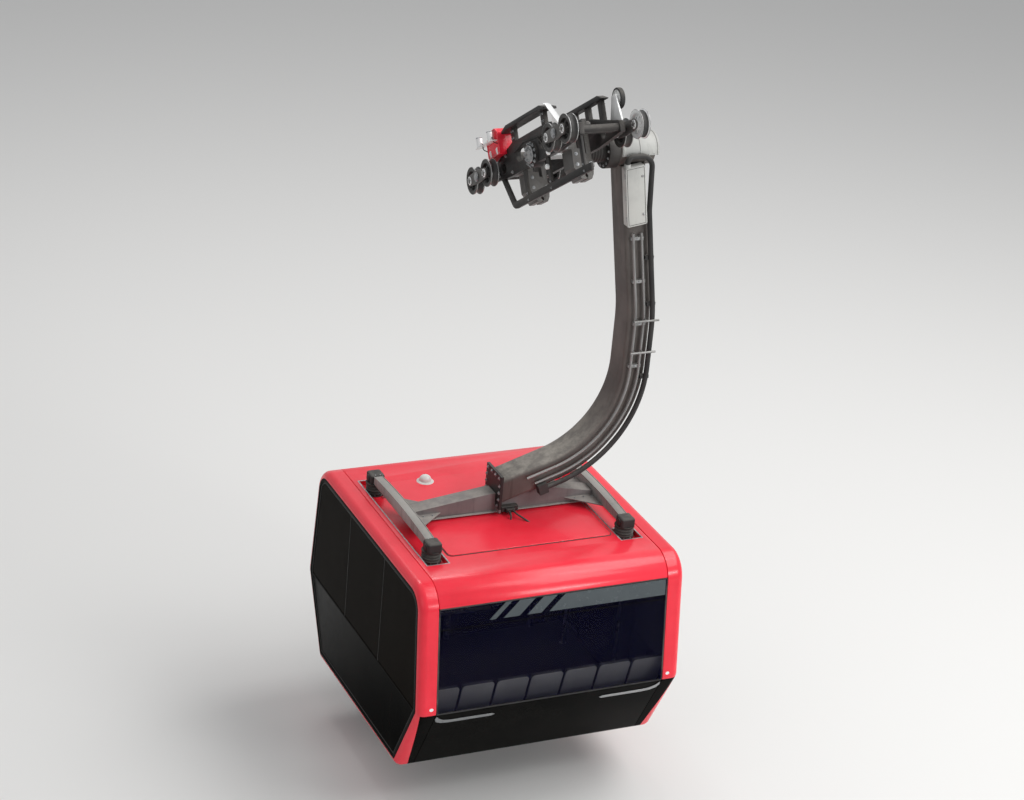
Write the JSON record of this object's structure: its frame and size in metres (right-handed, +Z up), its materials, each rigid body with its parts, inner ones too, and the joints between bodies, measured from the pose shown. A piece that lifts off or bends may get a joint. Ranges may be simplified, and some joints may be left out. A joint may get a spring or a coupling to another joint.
{
  "type": "tricable gondola lift vehicle",
  "caption": "Closed gondola cabin on a one-sided hanger arm, hung from a wheeled carriage that runs on track ropes and grips a haul rope.",
  "frame": {"origin": "midway between the two track rope centres, at the middle of the carriage", "axes": "+X to the outer side with the arm and doors, +Y level and downhill along the line, +Z up; the ropes fall 32 degrees towards +Y"},
  "size_m": [3.49, 3.7595, 8.2045],
  "materials": {
    "red_paint": "gloss red coat, clear lacquered",
    "black_gloss": "gloss black panels",
    "tinted_glass": "dark tinted acrylic glazing",
    "arm_paint": "weathered grey brown paint",
    "bar_paint": "light grey paint, dusty on top",
    "rubber": "black rubber",
    "galvanised": "dull galvanised steel",
    "box_paint": "light grey cabinet paint",
    "dark_steel": "dark greased castings and plates",
    "jaw_steel": "worn machined steel",
    "drive_plate": "dark lined steel bar",
    "bright_alloy": "bright alloy plates",
    "roller": "alloy roller with a dark lined groove",
    "guide_wheel": "dark wheel with an alloy hub",
    "floor_rubber": "studded floor covering",
    "interior_metal": "satin metal fittings",
    "seat_cover": "dark grey padded covers",
    "white_plastic": "white moulded dome"
  },
  "bodies": {
    "carriage": {"carriage_frame": "dark_steel", "drive_plate": "drive_plate", "pivot_shaft": "jaw_steel", "swing_damper": "dark_steel", "grip_uphill": "dark_steel", "grip_downhill": "dark_steel", "grip_cover": "red_paint", "ramps": "bright_alloy", "wheel_brackets": "dark_steel"},
    "cabin": {"hanger_arm": "arm_paint", "head_cover": "box_paint", "cross_beam": "arm_paint", "roof_bar_inner": "bar_paint", "roof_bar_outer": "bar_paint", "dampers": "rubber", "hoop_inner": "red_paint", "hoop_outer": "red_paint", "roof": "red_paint", "window_uphill": "tinted_glass", "window_downhill": "tinted_glass", "apron_uphill": "black_gloss", "apron_downhill": "black_gloss", "floor": "floor_rubber", "underframe": "galvanised", "inner_glass": "tinted_glass", "inner_panel": "black_gloss", "inner_posts": "interior_metal", "door_frame": "black_gloss", "outer_glass": "tinted_glass", "outer_panels": "black_gloss", "door_rails": "galvanised", "benches": "interior_metal", "seat_pads": "seat_cover", "back_pads": "seat_cover", "grab_poles": "interior_metal", "beacon": "white_plastic", "ladder": "galvanised", "conduit": "rubber", "control_box": "box_paint"},
    "rocker_uphill_inner": {"rocker_uphill_inner": "dark_steel"},
    "roller_uphill_inner_a": {"roller_uphill_inner_a": "roller"},
    "roller_uphill_inner_b": {"roller_uphill_inner_b": "roller"},
    "rocker_uphill_outer": {"rocker_uphill_outer": "dark_steel"},
    "roller_uphill_outer_a": {"roller_uphill_outer_a": "roller"},
    "roller_uphill_outer_b": {"roller_uphill_outer_b": "roller"},
    "rocker_downhill_inner": {"rocker_downhill_inner": "dark_steel"},
    "roller_downhill_inner_a": {"roller_downhill_inner_a": "roller"},
    "roller_downhill_inner_b": {"roller_downhill_inner_b": "roller"},
    "rocker_downhill_outer": {"rocker_downhill_outer": "dark_steel"},
    "roller_downhill_outer_a": {"roller_downhill_outer_a": "roller"},
    "roller_downhill_outer_b": {"roller_downhill_outer_b": "roller"},
    "guide_wheel_uphill": {"guide_wheel_uphill": "guide_wheel"},
    "jaw_uphill": {"jaw_uphill": "jaw_steel"},
    "leaf_uphill": {"door_uphill": "black_gloss", "door_glass_uphill": "tinted_glass"},
    "guide_wheel_downhill": {"guide_wheel_downhill": "guide_wheel"},
    "jaw_downhill": {"jaw_downhill": "jaw_steel"},
    "leaf_downhill": {"door_downhill": "black_gloss", "door_glass_downhill": "tinted_glass"}
  },
  "joints": [
    {"name": "hanger_swing", "type": "hinge", "parent": "carriage", "child": "cabin", "pos_m": [0, 0.09009, 0.14417], "axis": [1, 0, 0], "range_deg": [-77, 13]},
    {"name": "rocker_uphill_inner_pivot", "type": "hinge", "parent": "carriage", "child": "rocker_uphill_inner", "pos_m": [-0.44, -0.86927, 0.74128], "axis": [1, 0, 0], "range_deg": [-8, 8]},
    {"name": "roller_uphill_inner_a_spin", "type": "hinge", "parent": "rocker_uphill_inner", "child": "roller_uphill_inner_a", "pos_m": [-0.44, -1.05584, 0.85786], "axis": [1, 0, 0], "continuous": true},
    {"name": "roller_uphill_inner_b_spin", "type": "hinge", "parent": "rocker_uphill_inner", "child": "roller_uphill_inner_b", "pos_m": [-0.44, -0.6827, 0.6247], "axis": [1, 0, 0], "continuous": true},
    {"name": "rocker_uphill_outer_pivot", "type": "hinge", "parent": "carriage", "child": "rocker_uphill_outer", "pos_m": [0.44, -0.86927, 0.74128], "axis": [1, 0, 0], "range_deg": [-8, 8]},
    {"name": "roller_uphill_outer_a_spin", "type": "hinge", "parent": "rocker_uphill_outer", "child": "roller_uphill_outer_a", "pos_m": [0.44, -1.05584, 0.85786], "axis": [1, 0, 0], "continuous": true},
    {"name": "roller_uphill_outer_b_spin", "type": "hinge", "parent": "rocker_uphill_outer", "child": "roller_uphill_outer_b", "pos_m": [0.44, -0.6827, 0.6247], "axis": [1, 0, 0], "continuous": true},
    {"name": "rocker_downhill_inner_pivot", "type": "hinge", "parent": "carriage", "child": "rocker_downhill_inner", "pos_m": [-0.44, 1.04732, -0.45634], "axis": [1, 0, 0], "range_deg": [-8, 8]},
    {"name": "roller_downhill_inner_a_spin", "type": "hinge", "parent": "rocker_downhill_inner", "child": "roller_downhill_inner_a", "pos_m": [-0.44, 0.86075, -0.33975], "axis": [1, 0, 0], "continuous": true},
    {"name": "roller_downhill_inner_b_spin", "type": "hinge", "parent": "rocker_downhill_inner", "child": "roller_downhill_inner_b", "pos_m": [-0.44, 1.23389, -0.57292], "axis": [1, 0, 0], "continuous": true},
    {"name": "rocker_downhill_outer_pivot", "type": "hinge", "parent": "carriage", "child": "rocker_downhill_outer", "pos_m": [0.44, 1.04732, -0.45634], "axis": [1, 0, 0], "range_deg": [-8, 8]},
    {"name": "roller_downhill_outer_a_spin", "type": "hinge", "parent": "rocker_downhill_outer", "child": "roller_downhill_outer_a", "pos_m": [0.44, 0.86075, -0.33975], "axis": [1, 0, 0], "continuous": true},
    {"name": "roller_downhill_outer_b_spin", "type": "hinge", "parent": "rocker_downhill_outer", "child": "roller_downhill_outer_b", "pos_m": [0.44, 1.23389, -0.57292], "axis": [1, 0, 0], "continuous": true},
    {"name": "guide_wheel_uphill_spin", "type": "hinge", "parent": "carriage", "child": "guide_wheel_uphill", "pos_m": [0.342, -0.67426, 1.03449], "axis": [1, 0, 0], "continuous": true},
    {"name": "jaw_uphill_open", "type": "hinge", "parent": "carriage", "child": "jaw_uphill", "pos_m": [0.07, -0.59468, 0.2183], "axis": [0, -0.848, 0.5299], "range_deg": [0, 10]},
    {"name": "door_uphill_slide", "type": "slide", "parent": "cabin", "child": "leaf_uphill", "axis": [0, -1, 0], "range_m": [0, 0.6]},
    {"name": "guide_wheel_downhill_spin", "type": "hinge", "parent": "carriage", "child": "guide_wheel_downhill", "pos_m": [0.342, 1.22537, -0.15252], "axis": [1, 0, 0], "continuous": true},
    {"name": "jaw_downhill_open", "type": "hinge", "parent": "carriage", "child": "jaw_downhill", "pos_m": [0.07, 0.4569, -0.4388], "axis": [0, -0.848, 0.5299], "range_deg": [0, 10]},
    {"name": "door_downhill_slide", "type": "slide", "parent": "cabin", "child": "leaf_downhill", "axis": [0, 1, 0], "range_m": [0, 0.6]}
  ]
}
